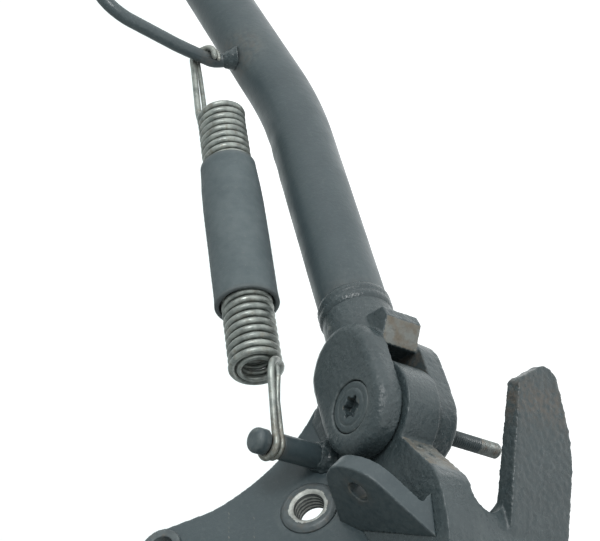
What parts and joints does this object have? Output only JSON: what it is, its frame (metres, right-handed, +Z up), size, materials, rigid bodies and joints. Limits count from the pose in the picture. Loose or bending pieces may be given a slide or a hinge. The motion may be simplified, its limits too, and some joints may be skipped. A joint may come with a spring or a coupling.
{
  "type": "kickstand",
  "caption": "motorcycle side stand: bent tubular leg on a clevis pivot, cast frame bracket with guard horn, nested return springs in a rubber sleeve and a toe rod",
  "frame": {"origin": "centre of the leg's pivot, halfway along the pivot bolt", "axes": "+X forward along the bracket, +Y outboard and square to the mounting plate, +Z up; the leg is folded up and points towards -X; on the machine the bracket is pitched about 25 degrees nose-down"},
  "size_m": [0.4119, 0.1412, 0.1615],
  "materials": {
    "black_casting": "semi-gloss black paint over a rough casting, worn through at the stops",
    "black_steel": "semi-gloss black paint, lightly scuffed",
    "weld": "painted weld bead",
    "bare_steel": "bare machined steel, dirty",
    "bush": "bronze bush",
    "bolt": "black steel with a bare threaded tip",
    "spring_wire": "galvanised spring wire, dull",
    "sleeve": "matte rubber"
  },
  "bodies": {
    "bracket": {"pivot_casting": "black_casting", "mounting_plate": "black_steel", "gusset_tab": "black_steel", "threaded_boss": "bare_steel", "upper_hole_bush": "bare_steel", "spring_post": "black_steel", "post_weld": "weld", "tab_weld": "weld", "plate_weld": "weld", "pivot_bush": "bush", "thrust_washers": "bare_steel"},
    "leg": {"clevis": "black_casting", "leg_tube": "black_steel", "neck_weld": "weld", "foot_plate": "black_steel", "foot_weld": "weld", "toe_rod": "black_steel", "rod_weld": "weld", "pivot_bolt": "bolt"},
    "spring_lower": {"outer_spring": "spring_wire"},
    "spring_upper": {"inner_spring": "spring_wire"},
    "sleeve": {"spring_sleeve": "sleeve"}
  },
  "joints": [
    {"name": "leg_pivot", "type": "hinge", "parent": "bracket", "child": "leg", "pos_m": [0, 0, 0], "axis": [0, -0.7986, -0.6018], "range_deg": [0, 116], "stiffness_Nm_per_rad": 3, "springref_deg": -57.3},
    {"name": "spring_swing", "type": "hinge", "parent": "bracket", "child": "spring_lower", "pos_m": [-0.005, 0.00821, 0.04062], "axis": [0, -0.7986, -0.6018], "range_deg": [0, 106]},
    {"name": "spring_stretch", "type": "slide", "parent": "spring_lower", "child": "spring_upper", "axis": [-0.9672, 0.1529, -0.2029], "range_m": [0, 0.0259], "deforming": ["outer_spring", "inner_spring"]},
    {"name": "sleeve_slide", "type": "slide", "parent": "spring_lower", "child": "sleeve", "axis": [-0.9672, 0.1529, -0.2029], "range_m": [0, 0.013]}
  ],
  "couplings": [
    {"joint": "spring_swing", "follows": "leg_pivot", "ratio": 0.9107},
    {"joint": "spring_stretch", "follows": "leg_pivot", "m_per_rad": 0.01275},
    {"joint": "sleeve_slide", "follows": "leg_pivot", "m_per_rad": 0.0064}
  ]
}
